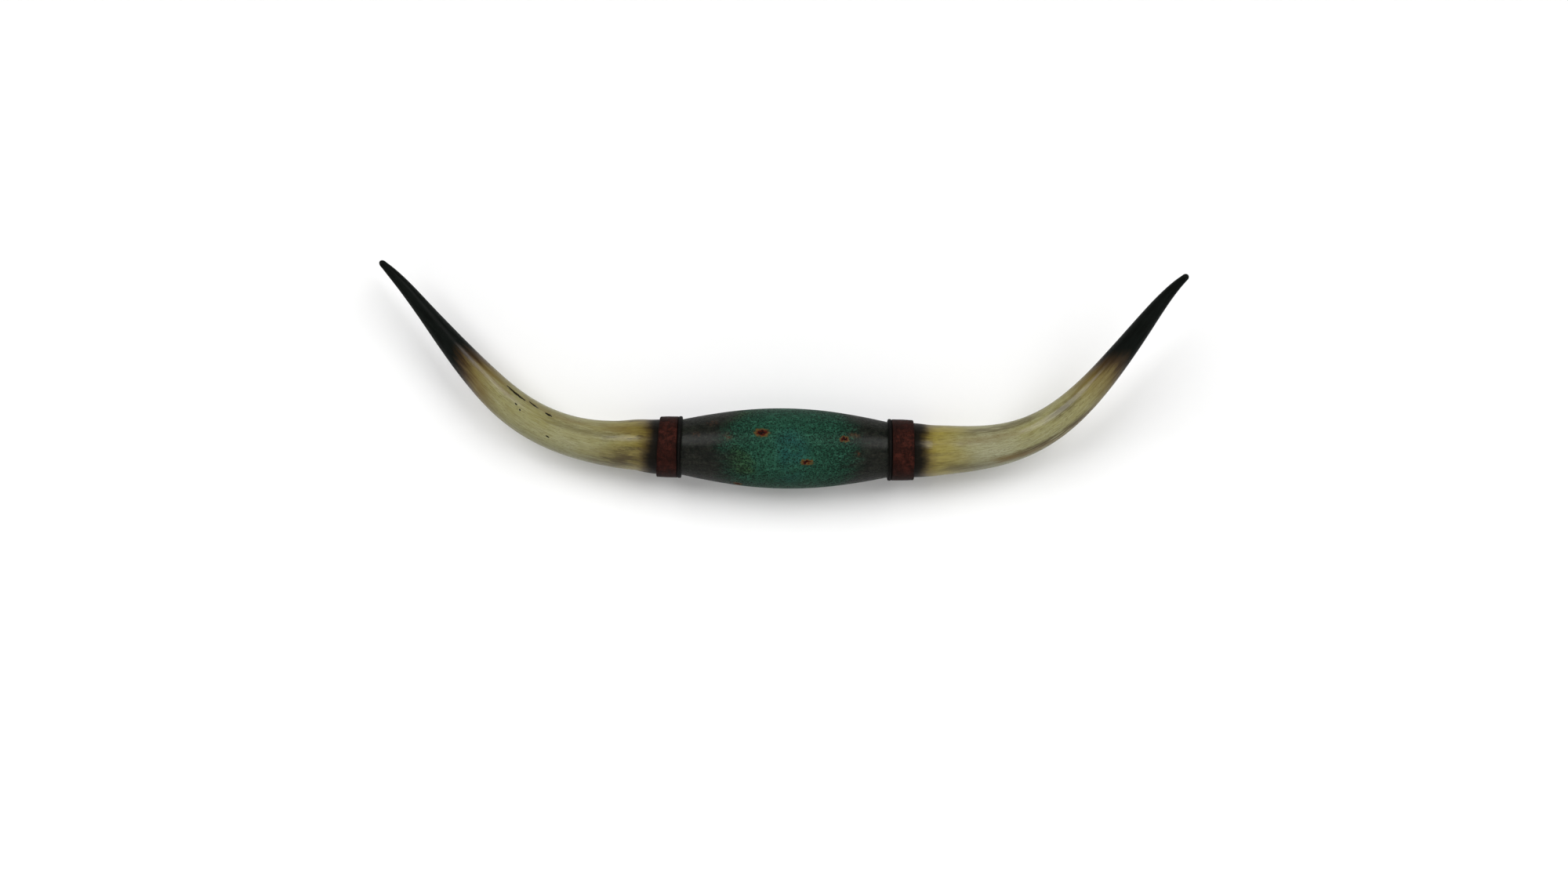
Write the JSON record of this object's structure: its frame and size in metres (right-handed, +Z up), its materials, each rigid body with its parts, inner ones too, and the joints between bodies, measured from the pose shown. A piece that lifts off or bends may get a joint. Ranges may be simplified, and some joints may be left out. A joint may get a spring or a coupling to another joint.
{
  "type": "mounted steer horns",
  "caption": "Polished longhorn steer horns joined end to end by a turned wooden barrel with leather bands, for hanging on a wall.",
  "frame": {"origin": "midway between the round holes of the two keyhole plates, on the flat of the barrel's back, where it meets the wall", "axes": "+X along the barrel to the viewer's right, +Y into the wall, +Z up"},
  "size_m": [1.198, 0.177, 0.3356],
  "materials": {
    "horn": "polished natural horn, cream with scorched bases and black tips",
    "barrel_wood": "verdigris paint with black speckle and rust pits, satin",
    "band_leather": "dark chestnut leather, worn",
    "welt_leather": "black leather",
    "plug_wood": "bare turned pine",
    "tack_brass": "aged",
    "steel": "zinc plated",
    "plate_steel": "zinc plated sheet"
  },
  "bodies": {
    "root": {"band_tacks_left": "tack_brass", "band_tacks_right": "tack_brass", "band_welt_left": "welt_leather", "band_welt_right": "welt_leather", "centre_barrel": "barrel_wood", "horn_left": "horn", "horn_plug_left": "plug_wood", "horn_plug_right": "plug_wood", "horn_right": "horn", "horn_screws_left": "steel", "horn_screws_right": "steel", "joint_dowels_left": "plug_wood", "joint_dowels_right": "plug_wood", "keyhole_plate_left": "plate_steel", "keyhole_plate_right": "plate_steel", "leather_band_left": "band_leather", "leather_band_right": "band_leather", "plate_screws_left": "steel", "plate_screws_right": "steel", "tie_rod": "steel", "tie_rod_nut_left": "steel", "tie_rod_nut_right": "steel", "tie_rod_washer_left": "steel", "tie_rod_washer_right": "steel"}
  },
  "joints": []
}
